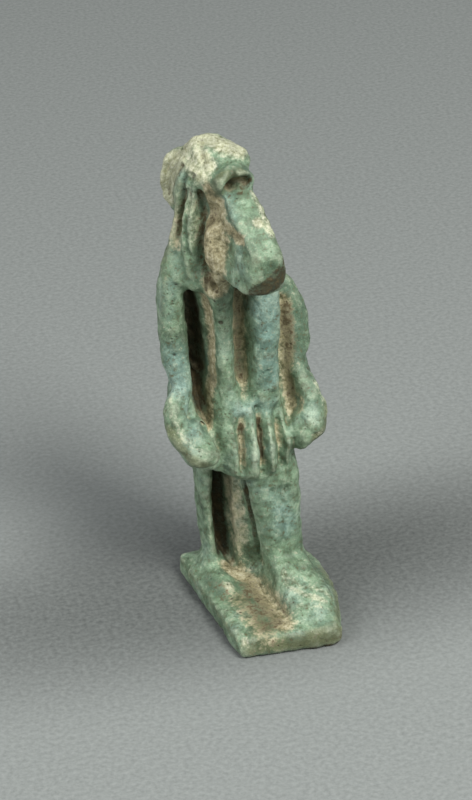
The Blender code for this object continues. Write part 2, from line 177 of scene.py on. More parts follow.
# The brow, the side of the head, the wig's parting, the kilt's edge, the leg groove and the muzzle's side.
SOFT_PLACES = (
    ((-0.7, -1.3, 34.8), (1.8, 1.4, 0.9)),
    ((-2.9, -0.2, 34.1), (0.8, 1.4, 0.9)),
    ((-3.0, -0.2, 30.6), (0.8, 1.5, 3.4)),
    ((0.7, -0.3, 15.2), (2.8, 1.4, 0.9)),
    ((-2.6, 3.8, 5.6), (0.7, 1.6, 4.6)),
    ((-1.9, -2.2, 30.2), (0.5, 1.2, 1.6)),
)
BROW_LIP = ((-0.7, -1.6, 34.9), (1.3, 0.9, 0.55))


def carve_head(points, normals):
    """The parting of the wig, the side of the head, the arch of the brow, a crown line and the mouth."""
    deep = ((-3.0, 0.8, 33.4), (-2.95, 0.9, 31.8), (-3.1, 0.9, 30.2), (-3.3, 0.6, 28.8), (-3.1, 0.3, 27.6))
    carve(points, normals, deep, NEAR_FRONT, 0.3, 0.3, sharp=2)
    swell(points, (-2.6, -0.5, 29.0), (0.8, 1.5, 2.2), (-0.1, -0.35, 0))
    swell(points, (-2.7, -0.2, 32.0), (0.7, 0.9, 0.9), (0.15, 0.3, 0))
    rim = ((-2.7, -0.7, 35.4), (-2.1, -1.4, 35.9), (-1.2, -1.6, 36.1), (-0.3, -1.4, 36.0), (0.3, -0.9, 35.6))
    carve(points, normals, rim, (0, -0.6, 0.8), 0.22, 0.06, sharp=2)
    swell(points, (-2.15, -1.2, 35.0), (0.75, 0.9, 0.8), (-0.05, -0.35, -0.15))
    swell(points, (-0.3, -1.1, 35.4), (1.1, 0.9, 0.7), (0, -0.25, 0))
    crown = ((-2.45, 2.2, 36.9), (-2.6, 1.3, 36.6), (-2.85, 0.6, 36.0), (-3.0, 0.0, 35.3))
    carve(points, normals, crown, (-0.5, -0.5, 0.7), 0.2, 0.12, sharp=2)
    mouth = ((-1.9, -1.9, 31.5), (-1.6, -2.9, 31.4), (-1.35, -3.8, 31.2))
    carve(points, normals, mouth, (-0.95, -0.2, -0.1), 0.3, 0.22, sharp=2)


def carve_locks(points, normals):
    """The hanging locks of the wig, from the crown over each side to the shoulder."""
    for path in (
        ((-3.5, 0.6, 34.9), (-3.6, 1.0, 33.0), (-3.7, 1.2, 31.2), (-3.85, 1.0, 29.0), (-3.7, 0.7, 27.2)),
        ((-3.85, 1.2, 34.6), (-4.0, 1.7, 32.7), (-4.15, 2.1, 31.2), (-4.6, 2.0, 29.6), (-4.9, 2.0, 28.2)),
        ((-3.95, 2.0, 35.1), (-4.3, 2.7, 33.4), (-4.4, 3.0, 31.8), (-4.6, 2.9, 30.4), (-5.3, 2.8, 28.6)),
        ((-3.9, 2.9, 35.4), (-4.5, 3.6, 33.8), (-4.6, 3.9, 32.2)),
        ((-3.7, 3.7, 35.4), (-4.6, 4.5, 33.6), (-4.6, 4.8, 32.0)),
    ):
        carve(points, normals, path, NEAR_SIDE, 0.22, 0.34, sharp=2)
        mirrored = [(2 * HEAD_MIDDLE - x, y, z) for x, y, z in path]
        carve(points, normals, mirrored, FAR_SIDE, 0.22, 0.25, reach=1.8, sharp=2)
    for path in (
        ((-3.3, 1.6, 36.0), (-3.75, 1.9, 35.0)),
        ((-2.9, 0.6, 36.0), (-3.3, 0.5, 35.2)),
        ((-3.2, 2.8, 36.2), (-3.8, 3.3, 35.2)),
    ):
        carve(points, normals, path, (-0.6, -0.2, 0.75), 0.13, 0.16)


def carve_lappet(points, normals):
    """Striations at the foot of the near fall of the wig."""
    for top, low in (
        ((-2.95, 0.3, 27.9), (-3.1, 0.1, 26.0)),
        ((-2.6, -0.5, 28.1), (-2.6, -0.3, 25.8)),
        ((-2.2, -0.9, 27.9), (-2.1, -0.6, 25.7)),
        ((-1.8, -1.0, 27.2), (-1.6, -0.6, 25.7)),
    ):
        carve(points, normals, (top, low), NEAR_FRONT, 0.12, 0.2)


def carve_kilt(points, normals):
    """The pleats and the grooves between them, run out upwards over the filled tops of the CAD's."""
    for top, foot in (
        ((-1.15, 14.9), (-1.5, 11.5)),
        ((0.1, 15.2), (0.05, 11.2)),
        ((1.55, 15.1), (1.45, 11.2)),
        ((2.6, 13.7), (2.75, 11.6)),
    ):
        start = (top[0], -0.3, top[1] - 0.9)
        carve(points, normals, ((top[0], -0.2, top[1] + 0.5), start), FRONT, 0.3, -0.32, sharp=2)
        carve(points, normals, (start, (foot[0], -0.9, foot[1])), FRONT, 0.2, 0.26, sharp=2)
        carve(points, normals, (start, (0.85 * top[0], 0, top[1] + 1.6)), FRONT, 0.24, 0.16, sharp=2)
    for path in (
        ((-0.5, -0.2, 15.6), (-0.75, -1.0, 11.2)),
        ((0.85, -0.2, 15.6), (0.75, -1.0, 10.9)),
        ((2.1, -0.1, 15.2), (2.1, -0.8, 11.0)),
    ):
        carve(points, normals, path, FRONT, 0.22, -0.15)


def carve_dark_grooves(points, normals):
    """The grooves beside the near leg and in the crook of the near arm, deeper than in the CAD."""
    beside_leg = ((-2.5, 3.4, 10.0), (-2.5, 3.5, 5.0), (-2.4, 3.6, 1.4))
    carve(points, normals, beside_leg, FRONT, 0.36, 0.8, reach=1.7, sharp=2)
    crook = ((-3.95, 2.4, 18.0), (-3.95, 1.7, 16.2), (-3.9, 1.2, 14.9))
    carve(points, normals, crook, FRONT, 0.42, 0.7, reach=1.6)


def carve_front_leg(points, normals):
    """The line of the shin, two dimples at the knee, the lines beside the foot and the leg, and the toes."""
    carve(points, normals, ((1.3, -0.9, 9.5), (1.55, -0.8, 4.5), (1.7, -0.8, 2.8)), FRONT, 0.16, 0.1)
    for path in (((0.75, -0.9, 8.9), (0.8, -0.9, 8.3)), ((1.9, -0.9, 8.9), (1.95, -0.9, 8.3))):
        carve(points, normals, path, FRONT, 0.2, 0.14)
    beside_foot = ((-0.05, 0.6, 0.1), (0.05, -2.0, 0.1), (0.25, -4.8, 0.1))
    carve(points, normals, beside_foot, UP, 0.2, 0.3, reach=0.7)
    carve(points, normals, ((-0.35, 0.6, 9.4), (0.1, 0.5, 4.2), (0.25, 0.4, 1.2)), NEAR_SIDE, 0.15, 0.2)
    for x in (1.4, 2.2, 3.0):
        carve(points, normals, ((x, -5.2, 1.0), (x + 0.1, -6.2, 0.5)), (0, -0.5, 0.8), 0.13, 0.1)


def chip_base(points):
    for centre, push in (
        ((-3.8, -6.6, -0.2), (0.22, 0.3, -0.12)),
        ((4.0, -7.2, -0.2), (-0.15, 0.2, -0.1)),
        ((-1.2, -7.2, 0.0), (0, 0.12, -0.1)),
        ((1.4, -7.3, 0.0), (0, 0.1, -0.06)),
        ((-4.9, 4.9, 0.0), (0.15, 0, -0.12)),
    ):
        swell(points, centre, (0.8, 0.6, 0.6), push)


def carve_near_hand(points, normals):
    """The ridge of the knuckles and the hollows beside it."""
    knuckles = ((-6.4, 0.0, 17.4), (-6.3, -0.9, 16.1), (-5.7, -1.7, 14.9))
    carve(points, normals, knuckles, NEAR_FRONT, 0.3, -0.16, sharp=2)
    carve(points, normals, ((-5.6, -0.6, 17.2), (-5.3, -1.3, 15.8)), NEAR_FRONT, 0.35, 0.2, sharp=2)
    carve(points, normals, ((-5.0, -2.3, 14.9), (-4.2, -2.5, 14.9)), (0, -0.7, 0.7), 0.3, 0.14, sharp=2)


def carve_brow(points, normals, edges):
    """The hollow under the brow and the notch above it, cut after the softening so that they stay clear."""
    carve(points, normals, ((-1.4, -1.6, 34.4), (-0.3, -1.6, 34.5)), FRONT, 0.42, 0.36, sharp=2)
    carve(points, normals, ((-1.25, -1.5, 35.8), (-1.2, -1.6, 35.1)), FRONT, 0.18, 0.2, sharp=2)
    return soften(points, edges, (BROW_LIP,), times=14)


# Each pit's place and radius in millimetres.
PITS = (
    (-2.25, -0.15, 24.2, 0.17),
    (-2.3, -0.15, 23.2, 0.2),
    (-5.0, 1.7, 26.05, 0.2),
    (0.3, -0.47, 17.1, 0.17),
    (0.95, -0.57, 18.7, 0.15),
    (0.4, -0.5, 24.3, 0.2),
    (0.5, -0.6, 23.0, 0.15),
    (-1.56, -0.55, 14.1, 0.16),
    (4.1, -1.7, 13.3, 0.18),
    (0.75, -0.9, 8.6, 0.2),
    (1.95, -0.9, 8.6, 0.2),
    (-5.9, 1.4, 22.6, 0.14),
    (-5.6, 1.3, 20.4, 0.14),
    (1.9, -0.9, 6.0, 0.14),
)


def sink_pits(points):
    for x, y, z, size in PITS:
        swell(points, (x, y, z), (size, 0.6, size), (0, 0.14, 0))


def wander(x, y, z):
    """A smooth shift that differs from place to place."""
    return np.array([noise.noise(Vector((x + apart, y, z))) for apart in (0.0, 31.7, 64.3)])


def unsettle(points):
    """Edges and grooves wander, as in a pressed and hand-trimmed piece. The underside stays flat."""
    shift = np.empty(points.shape)
    for i, (x, y, z) in enumerate(points / MM):
        slow = wander(0.42 * x, 0.42 * y, 0.42 * z)
        quick = wander(1.1 * x + 9, 1.1 * y, 1.1 * z)
        shift[i] = 0.14 * slow + 0.05 * quick
    shift[:, 2] *= np.clip((points[:, 2] / MM - 0.2) / 1.4, 0, 1)
    points += shift * MM


def roughen(points, normals):
    """The lumps and dimples of a hand-finished, worn surface."""
    lift = np.empty(len(points))
    for i, (x, y, z) in enumerate(points / MM):
        broad = noise.noise(Vector((0.55 * x, 0.55 * y, 0.45 * z)))
        middle = noise.noise(Vector((1.5 * x + 7, 1.5 * y, 1.3 * z)))
        small = noise.noise(Vector((3.6 * x, 3.6 * y + 5, 3.4 * z)))
        lift[i] = 0.1 * broad + 0.08 * middle + 0.045 * small
    points += normals * (lift * MM)[:, None]


def wear_base(points, edges):
    """Rounds the edges of the base and draws in its lower rim."""
    worn = relax(points, edges, times=16)
    share = np.clip((2.2 - points[:, 2] / MM) / 0.4, 0, 1)[:, None]
    points = points + share * (worn - points)
    undercut = 0.02 * np.clip(1 - points[:, 2] / (0.5 * MM), 0, 1) ** 2
    points[:, 0] *= 1 - undercut
    points[:, 1] *= 1 - undercut
    return points


def thin(skin):
    """Larger faces where the skin is flat, down to the most triangles. Before, every face has four sides."""
    fewer = skin.modifiers.new("Thin", "DECIMATE")
    fewer.ratio = MOST_TRIANGLES / (2 * len(skin.data.polygons))
    apply_modifiers(skin)


def build_skin():
    skin = fine_copy(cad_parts["amulet"])
    mesh = skin.data
    edges = edges_of(mesh)
    points = wear_base(relax(read_points(mesh), edges, times=5), edges)
    write_points(mesh, points)
    normals = read_normals(mesh)
    carve_head(points, normals)
    carve_locks(points, normals)
    carve_lappet(points, normals)
    carve_kilt(points, normals)
    carve_dark_grooves(points, normals)
    carve_front_leg(points, normals)
    chip_base(points)
    carve_near_hand(points, normals)
    points = soften(points, edges, SOFT_PLACES, times=36)
    points = carve_brow(points, normals, edges)
    unsettle(points)
    write_points(mesh, points)
    roughen(points, read_normals(mesh))
    points = relax(points, edges, times=1)
    sink_pits(points)
    write_points(mesh, points)
    thin(skin)
    points = read_points(skin.data)
    points[points[:, 2] < STANDING_SKIM, 2] = 0
    write_points(skin.data, points)
    return skin


# Where the skin is hollow, worn, pale or dirty, and where shade or highlights are painted on it


def openness(mesh, points, normals, edges, rays=12, far=3.0, golden_turn=2.4):
    """How much of the sky each vertex sees, from 0 in a deep groove to 1 in the open."""
    faces = [tuple(face.vertices) for face in mesh.polygons]
    tree = BVHTree.FromPolygons([tuple(point) for point in points], faces)
    seen = np.zeros(len(points))
    spokes = []
    for k in range(rays):
        lift = math.sqrt((k + 0.5) / rays)
        turn = golden_turn * k
        out = math.sqrt(1 - lift * lift)
        spokes.append((out * math.cos(turn), out * math.sin(turn), lift))
    for i, (point, normal) in enumerate(zip(points, normals)):
        up = Vector(normal)
        side = up.orthogonal().normalized()
        other = up.cross(side)
        start = Vector(point) + up * RAY_START
        for a, b, c in spokes:
            if tree.ray_cast(start, side * a + other * b + up * c, far * MM)[0] is None:
                seen[i] += 1
    return relax((seen / rays)[:, None], edges, times=4)[:, 0]


def bulge(points, normals, edges, times):
    """How far each vertex stands out of the evened-out skin, in millimetres. Hollows are negative."""
    even = relax(points, edges, times)
    return ((points - even) * normals).sum(axis=1) / MM


def streaks(points, strokes):
    """The strongest of several soft strokes at each vertex. Each is a path, a radius and a strength."""
    value = np.zeros(len(points))
    for path, radius, strength in strokes:
        path = [spot(place) for place in path]
        nearest = np.linalg.norm(points - path[0], axis=1)
        for start, end in zip(path, path[1:]):
            run = end - start
            share = np.clip((points - start) @ run / (run @ run), 0, 1)
            gap = np.linalg.norm(points - start - np.outer(share, run), axis=1)
            nearest = np.minimum(nearest, gap)
        value = np.maximum(value, strength * np.exp(-((nearest / (radius * MM)) ** 3)))
    return value


# Soft strokes of colour, some of them painted shade or painted highlights as noted. Each is a path or one
# place, a radius in millimetres and a strength.

CREAM = (
    (((-3.2, 3.0, 36.0), (-2.0, 2.2, 36.8)), 1.3, 1.0),
    (((-2.0, 2.2, 36.8), (-0.9, 1.0, 36.7), (-0.3, 0.6, 36.5)), 1.1, 1.0),
    (((-3.5, 1.2, 35.6), (-3.1, 0.0, 34.9)), 0.9, 0.75),
    (((-2.9, 1.0, 36.2), (-2.6, 0.1, 35.7)), 0.7, 0.9),
    (((-3.8, 3.0, 35.2), (-4.6, 3.8, 34.2), (-4.9, 4.0, 32.4)), 1.3, 1.3),
    (((-2.2, -0.3, 32.8), (-2.4, -0.3, 31.8)), 0.35, 0.8),
    (((-2.9, -1.1, 29.8), (-3.0, -1.2, 28.6)), 0.5, 0.65),
    (((-3.8, 0.8, 33.6), (-3.6, 0.8, 31.6), (-3.6, 0.6, 29.6)), 0.7, 0.5),
    (((0.2, 2.2, 36.4), (1.2, 3.0, 35.0), (1.6, 3.6, 33.4)), 1.2, 0.9),
    (((1.3, 1.6, 31.6), (1.9, 1.8, 29.4)), 0.8, 0.55),
    (((-4.4, 2.0, 31.4), (-4.9, 2.0, 29.4)), 0.9, 0.6),
    # Painted highlight on the bump of the snout.
    (((-0.1, -3.6, 32.4),), 0.5, 1.0),
    # Painted highlight along the snout's right edge.
    (((0.3, -1.6, 33.9), (0.5, -3.0, 32.8), (0.6, -4.2, 31.6)), 0.5, 0.6),
    # Painted highlights on the far hand.
    (((4.8, 0.2, 17.2), (5.2, -0.6, 15.4)), 0.5, 0.4),
    (((4.4, -1.8, 13.2),), 0.6, 0.6),
    # Painted highlight along the near hand's knuckle ridge.
    (((-6.4, 0.2, 17.4), (-6.4, -0.8, 16.2), (-5.9, -1.7, 14.9), (-4.6, -2.6, 14.0)), 0.4, 0.4),
    # Painted highlights streaked over the top of the foot.
    (((1.2, -1.6, 2.0), (1.0, -3.0, 1.6), (2.0, -4.2, 1.2), (3.4, -5.2, 1.0)), 0.35, 0.55),
    (((1.3, -2.4, 1.8), (1.9, -3.3, 1.5), (3.2, -4.0, 1.2), (4.0, -4.8, 0.8)), 0.28, 0.5),
    (((0.8, -4.6, 1.0), (1.6, -5.2, 0.9), (2.8, -5.6, 0.9)), 0.26, 0.45),
    (((-1.1, 3.0, 9.0), (-0.9, 2.6, 3.0)), 0.8, 0.75),
    (((-3.7, -6.6, -0.3),), 0.6, 0.95),
    (((-2.6, 0.3, 0.4),), 0.55, 0.75),
    (((-0.8, 3.0, 3.4), (-0.7, 3.0, 1.2)), 0.55, 0.8),
    (((-1.6, 3.6, 9.0), (-1.4, 3.3, 6.0), (-1.2, 3.0, 3.0)), 0.8, 0.85),
    # Painted light on the torso's near flank, which faces away from the key lamp.
    (((-2.96, 1.0, 23.4), (-2.9, 1.5, 17.5)), 0.65, 1.05),
    (((-1.7, 7.1, 31.0), (-1.8, 7.1, 24.0)), 0.4, 0.7),
    (((1.7, 7.1, 27.0), (1.8, 7.1, 18.0)), 0.4, 0.6),
    (((-0.6, 7.1, 31.6), (0.8, 7.1, 30.8)), 0.8, 0.6),
    (((0.4, 7.1, 12.0), (-0.6, 7.1, 7.0)), 1.1, 0.5),
    (((5.2, 3.6, 21.6), (5.0, 3.8, 18.6)), 0.9, 0.5),
    (((1.0, 4.6, 35.8), (-2.4, 6.0, 34.6)), 1.3, 0.8),
)

TAN = (
    (((-2.5, -0.4, 32.8), (-2.8, -0.9, 30.8), (-2.9, -1.2, 28.8), (-2.7, -0.6, 26.4)), 1.25, 1.25),
    (((-2.1, -1.6, 31.5), (-1.7, -2.7, 31.4), (-1.4, -3.6, 31.3)), 0.55, 1.15),
    (((-2.1, -1.7, 30.6), (-2.3, -1.6, 29.4)), 0.6, 0.9),
    (((-4.5, 2.4, 31.0), (-4.6, 2.2, 29.2)), 1.0, 0.55),
    (((-3.0, 1.2, 24.6), (-2.95, 1.3, 21.0), (-2.95, 1.5, 17.0), (-3.6, 1.2, 14.8)), 0.75, 1.0),
    (((-4.1, 1.4, 14.6), (-3.7, 1.0, 14.2)), 0.6, 1.2),
    (((-0.5, 1.5, 24.8), (-0.55, 1.6, 20.0), (-0.6, 1.1, 16.4)), 0.6, 1.0),
    (((2.9, 1.8, 23.0), (3.1, 1.8, 20.0), (3.2, 1.6, 17.0), (3.2, 1.0, 14.2)), 0.85, 1.0),
    (((4.0, 0.2, 15.6), (3.9, -0.3, 14.6)), 0.6, 0.8),
    (((-1.4, 3.6, 9.6), (-1.3, 3.3, 6.0), (-1.3, 3.2, 2.0)), 1.6, 0.6),
    (((-2.6, -0.4, 34.2), (-2.4, -0.3, 33.2)), 0.7, 1.0),
    (((-2.1, 6.2, 28.0), (-2.3, 6.0, 18.0), (-2.1, 6.0, 6.0)), 0.8, 0.9),
    (((2.1, 6.2, 28.0), (2.3, 6.0, 18.0), (2.1, 6.0, 6.0)), 0.8, 0.9),
    (((-1.8, 6.4, 33.0), (1.6, 6.4, 33.0)), 0.6, 0.8),
    (((2.6, 4.4, 9.0), (2.4, 4.6, 1.0)), 1.0, 0.9),
    (((-1.9, 2.6, 0.6), (-1.0, 1.4, 0.3)), 0.9, 1.2),
    (((-0.7, 0.6, 0.1), (-0.5, -1.8, 0.1), (-0.3, -4.2, 0.1), (-0.3, -5.8, 0.1)), 1.1, 1.0),
    (((-2.2, -1.0, 0.1), (-1.8, -4.8, 0.1), (-2.0, -6.4, 0)), 1.3, 0.65),
    (((-1.2, -0.1, 14.8), (-1.45, -0.9, 11.5)), 0.42, 0.75),
    (((0.1, -0.1, 14.8), (0.05, -0.9, 11.4)), 0.42, 0.75),
    (((2.5, 0.4, 14.0), (2.6, 0.0, 12.0)), 0.35, 0.5),
    (((4.1, -6.0, -0.6), (-3.4, -7.2, -1.2)), 0.7, 0.25),
    (((1.9, 0.6, 32.8), (1.9, 0.2, 29.4), (1.8, 0.2, 26.8)), 0.7, 0.8),
)

# Dark strokes in the grooves, hollows and on the base: partly brown dirt, partly painted shade.
DARK = (
    # Painted shadow under the brow's overhang, with some brown dirt.
    (((-1.4, -1.0, 34.5), (-0.2, -1.0, 34.5)), 0.62, 0.95),
    (((-1.5, -1.5, 34.1), (-0.2, -1.6, 34.15)), 0.45, 0.85),
    (((0.0, 0.6, 0.1), (0.1, -2.0, 0.1), (0.3, -4.8, 0.1)), 0.18, 0.75),
    (((-1.2, -1.6, 34.2), (-1.1, -1.9, 33.7)), 0.16, 0.9),
    (((-0.4, -1.6, 34.2), (-0.35, -2.0, 33.7)), 0.16, 0.9),
    (((-1.25, -1.5, 35.8), (-1.2, -1.7, 35.3)), 0.22, 0.9),
    # Brown dirt with painted shade on the underside of the muzzle's tip.
    (((-0.9, -5.7, 27.9), (0.1, -5.7, 28.3), (0.85, -5.5, 28.9)), 0.85, 1.4),
    # Painted shadow under the brow's overhang.
    (((-1.3, -1.6, 34.9), (-0.3, -1.6, 34.95)), 0.4, 0.6),
    # Painted shade on the base's front face.
    (((-3.4, -7.4, -1.0), (0.4, -7.5, -1.0), (4.0, -7.3, -1.0)), 0.8, 0.4),
    (((3.2, 1.9, 22.4), (3.4, 1.7, 19.0), (3.3, 1.2, 15.4)), 0.6, 0.7),
    (((-2.95, -0.4, 30.8), (-3.15, -0.6, 28.8), (-3.1, -0.3, 27.2)), 0.38, 0.8),
    (((-1.3, 0.4, 0.1), (-1.4, -2.6, 0.1), (-1.3, -5.6, 0.1)), 1.1, 0.62),
    (((1.6, 1.2, 33.2), (1.8, 1.2, 30.8), (2.2, 1.0, 28.4)), 0.4, 0.75),
    (((4.2, 3.6, 24.0), (4.3, 3.8, 18.0)), 0.6, 0.6),
    # Painted contact shadow along the base's lower front rim.
    (((-3.6, -7.1, -1.7), (0.4, -7.5, -1.7), (4.2, -7.0, -1.7)), 0.4, 0.9),
    (((1.0, -5.2, 29.2), (1.1, -5.0, 30.2)), 0.3, 0.8),
    (((1.0, -4.0, 31.0), (1.05, -4.9, 29.6)), 0.45, 0.75),
    (((-2.6, -0.2, 32.2), (-2.7, -0.4, 31.2)), 0.55, 0.75),
    (((-3.05, 0.9, 33.4), (-3.0, 1.0, 31.0), (-3.3, 0.6, 28.6), (-2.8, 0.2, 26.4)), 0.5, 0.65),
    (((-3.85, 1.2, 34.6), (-4.0, 1.7, 32.7), (-4.15, 2.1, 31.2), (-4.6, 2.0, 29.6)), 0.3, 0.65),
    (((-3.95, 2.0, 35.1), (-4.3, 2.7, 33.4), (-4.4, 3.0, 31.8)), 0.25, 0.8),
    (((-3.9, 2.9, 35.4), (-4.5, 3.6, 33.8), (-4.6, 3.9, 32.2)), 0.2, 0.65),
    (((-3.5, 0.6, 34.9), (-3.6, 1.0, 33.0), (-3.7, 1.2, 31.2), (-3.85, 1.0, 29.0)), 0.18, 0.7),
    (((-3.1, 0.1, 28.0), (-3.2, 0.0, 26.0)), 0.25, 0.8),
    (((-2.55, -0.6, 28.1), (-2.5, -0.4, 25.9)), 0.25, 0.8),
    (((-2.6, -1.4, 1.0), (-1.8, -3.0, 0.1)), 1.0, 0.45),
    (((-1.0, -2.6, 0.1), (-1.2, -5.0, 0.1)), 0.9, 0.5),
    (((-2.4, 2.0, 36.8), (-2.65, 1.0, 36.4), (-2.95, 0.1, 35.5)), 0.22, 0.55),
    (((-3.8, 3.6, 24.6), (-3.8, 4.2, 20.0), (-3.8, 2.6, 15.4)), 1.0, 1.0),
    (((-0.5, 1.9, 24.6), (-0.6, 2.0, 20.0), (-0.7, 1.6, 17.2)), 0.5, 0.6),
    (((-2.6, -1.0, 35.6), (-1.8, -1.6, 36.0)), 0.22, 0.8),
    (((-0.9, -1.6, 36.1), (-0.4, -1.5, 36.1)), 0.2, 0.8),
    (((-2.0, 4.8, 9.6), (-2.0, 5.0, 5.0), (-2.0, 4.6, 1.2)), 0.8, 1.1),
    (((-0.7, 1.6, 9.6), (-0.3, 1.6, 5.0), (0.0, 1.4, 1.4)), 0.35, 0.9),
    (((-1.25, -0.2, 14.4), (-1.45, -0.8, 11.9)), 0.28, 0.85),
    (((0.1, -0.2, 14.6), (0.05, -0.8, 11.7)), 0.28, 0.95),
    (((3.6, 1.6, 21.0), (3.7, 1.2, 17.0)), 0.35, 0.6),
    (((-0.9, -0.4, 0.1), (-0.7, -3.4, 0.1), (-0.5, -5.6, 0.1)), 0.55, 0.6),
    (((-2.4, 4.4, 9.4), (-2.5, 4.2, 5.0), (-2.5, 3.8, 1.6)), 0.6, 1.1),
    (((-3.6, 1.6, 0.1), (-3.4, -0.6, 0.1)), 0.7, 0.5),
    (((4.3, 0.9, 14.4), (4.1, 0.2, 13.8)), 0.5, 0.8),
    (((-1.2, -2.6, 27.4), (-2.2, -1.2, 27.0)), 0.4, 0.6),
)

DEEP = (
    (((-1.9, -1.9, 32.8), (-1.4, -3.2, 31.7), (-0.9, -4.7, 30.9)), 0.5, 1.2),
    (((-1.7, -4.4, 28.8), (-0.8, -5.4, 29.0)), 0.6, 0.7),
    (((0.8, -4.9, 30.4), (0.6, -5.3, 29.2)), 0.7, 0.7),
    (((-2.5, -1.2, 34.4), (-2.3, -1.2, 35.2), (-1.2, -1.5, 35.6), (0.2, -1.3, 35.2)), 0.8, 1.1),
    (((-4.9, 1.6, 27.6), (-3.6, 0.8, 26.4)), 0.9, 0.7),
    (((-5.9, 2.0, 24.0), (-5.9, 1.8, 22.4)), 0.6, 0.6),
    (((-2.2, 0.2, 23.4), (-2.0, 0.0, 21.4)), 0.5, 0.6),
    # Painted shade darkening the far arm.
    (((4.2, 1.6, 24.0), (4.6, 1.8, 20.6), (4.5, 1.0, 18.0)), 1.4, 1.3),
    (((1.2, -0.9, 15.0), (1.5, -0.9, 12.0)), 0.3, 0.8),
    # Partly the glaze's own dark patches, partly painted shade on the base's front face.
    (((-0.4, -7.4, -1.0), (3.0, -7.4, -0.9)), 0.6, 0.9),
    (((0.6, 0.0, 17.4), (-0.4, 0.2, 16.6)), 0.7, 0.5),
    (((2.5, -0.4, 12.6), (1.0, -1.2, 10.4)), 0.7, 0.5),
    (((-0.2, -0.4, 8.6), (0.3, -0.6, 4.0), (0.6, -1.0, 1.6)), 0.5, 0.7),
    (((2.8, -0.3, 5.0), (3.0, -0.6, 2.4)), 0.7, 0.6),
    (((3.9, -1.0, 0.6), (4.0, 2.0, 0.3)), 1.2, 0.8),
    (((-3.9, 1.8, 0.3), (-3.6, 0.2, 0.1)), 0.8, 0.9),
    (((4.6, -0.2, 16.8), (4.7, -0.9, 15.2)), 0.55, 0.8),
    # Partly the glaze's own dark patches, partly painted shade on the base's front face.
    (((1.8, -7.4, -0.6), (4.0, -7.2, -0.9)), 0.7, 0.9),
    (((0.4, -3.0, 0.6), (0.6, -5.2, 0.5)), 0.45, 0.6),
    # These two: partly the glaze's own dark patches, partly painted shade on the base's front face.
    (((-2.6, -7.4, -0.9), (0.4, -7.4, -1.0)), 0.6, 0.8),
    (((2.4, -7.4, -0.8),), 0.6, 0.7),
)

OLIVE = (
    (((-2.5, -1.2, 34.5), (-2.2, -1.4, 35.3), (-0.6, -1.6, 35.5)), 0.6, 0.75),
    (((-3.5, 0.8, 33.4), (-3.5, 0.7, 29.4)), 0.4, 0.6),
    # Partly olive staining, partly painted shade on the base's front face.
    (((-3.6, -7.3, -0.9), (0.4, -7.5, -1.0), (4.2, -7.2, -0.9)), 0.75, 1.1),
    (((-2.4, -1.4, 0.1), (-2.2, -4.4, 0.1), (-1.6, -6.2, 0.1)), 1.0, 0.7),
    # Partly olive staining, partly painted shade on the base's front face.
    (((-3.0, -7.2, -0.4), (0.6, -7.4, -0.6), (3.6, -7.2, -0.4)), 0.7, 0.9),
    (((2.0, -1.6, 32.0), (1.4, -2.4, 33.4)), 0.6, 0.5),
    (((-6.6, -0.6, 15.4), (-5.9, -2.2, 13.6), (-4.4, -2.8, 12.6)), 0.6, 0.9),
    (((5.6, -0.6, 15.2), (5.2, -1.3, 13.8), (4.2, -1.6, 12.9)), 0.6, 0.9),
    (((3.4, 0.2, 15.6), (3.5, -0.3, 13.4)), 0.7, 0.6),
    # Partly olive staining, partly painted shade on the base's front face.
    (((-3.8, -7.0, -0.6), (0.0, -7.4, -1.2), (4.0, -7.2, -1.0)), 0.8, 0.75),
    (((4.2, -6.6, 0.0), (5.0, -3.0, -0.2), (5.2, 1.0, -0.2)), 0.8, 0.8),
    (((-4.1, -6.0, -0.5), (-4.6, 0.0, -0.4), (-5.0, 6.0, -0.4)), 0.4, 0.6),
    (((1.1, -3.0, 32.0), (1.1, -4.6, 30.0), (1.0, -5.2, 28.8)), 0.5, 0.9),
    (((-4.8, 5.0, 33.4), (-4.8, 4.0, 31.6)), 0.6, 0.6),
    (((-4.2, 1.6, 33.6), (-4.8, 2.2, 29.6), (-5.6, 2.6, 28.0)), 0.9, 0.6),
    (((-3.2, 1.6, 36.1), (-3.5, 0.4, 35.0)), 0.5, 0.5),
    (((-0.4, -0.8, 10.6), (-0.8, -0.2, 10.8), (-2.6, 0.4, 11.0)), 0.45, 0.8),
    (((-5.6, 2.0, 26.6), (-5.9, 2.2, 23.6)), 0.5, 0.5),
    (((-2.6, -0.6, 34.3), (-1.4, -1.8, 34.1)), 0.4, 0.6),
)

BLUE = (
    (((1.0, -0.6, 25.0), (1.1, -0.5, 18.0)), 1.0, 1.0),
    (((-5.6, 1.4, 20.6), (-5.4, 0.8, 18.0)), 1.1, 0.9),
    (((-1.7, -2.6, 32.4), (-1.6, -1.4, 33.4)), 0.7, 0.8),
    (((-4.6, -0.6, 15.2), (-5.2, 0.0, 16.2)), 1.0, 0.6),
    (((-1.0, -0.4, 15.8), (1.4, -0.3, 15.6)), 0.8, 0.6),
    (((1.4, -1.0, 8.0), (1.6, -0.9, 5.0)), 1.0, 0.5),
)


STROKES = {
    "cream": CREAM,
    "tan": TAN,
    "dark": DARK,
    "blue": BLUE,
    "deep": DEEP,
    "olive": OLIVE,
    "pit": [((pit[:3],), pit[3], 1.2) for pit in PITS],
}


def mark(mesh, name, values):
    layer = mesh.attributes.new(name, "FLOAT", "POINT")
    layer.data.foreach_set("value", np.clip(values, 0, 1).astype(np.float32))


def mark_skin(skin):
    """Writes what the material reads: hollows, edges, creases and the strokes of colour."""
    mesh = skin.data
    edges = edges_of(mesh)
    points = read_points(mesh)
    normals = read_normals(mesh)
    mark(mesh, "hollow", 1 - openness(mesh, points, normals, edges))
    small = bulge(points, normals, edges, times=8)
    wide = bulge(points, normals, edges, times=55)
    mark(mesh, "edge", 5 * small + 1.6 * wide)
    mark(mesh, "crease", -7 * small - 1.6 * wide)
    for name, strokes in STROKES.items():
        mark(mesh, name, streaks(points, strokes))


# Material


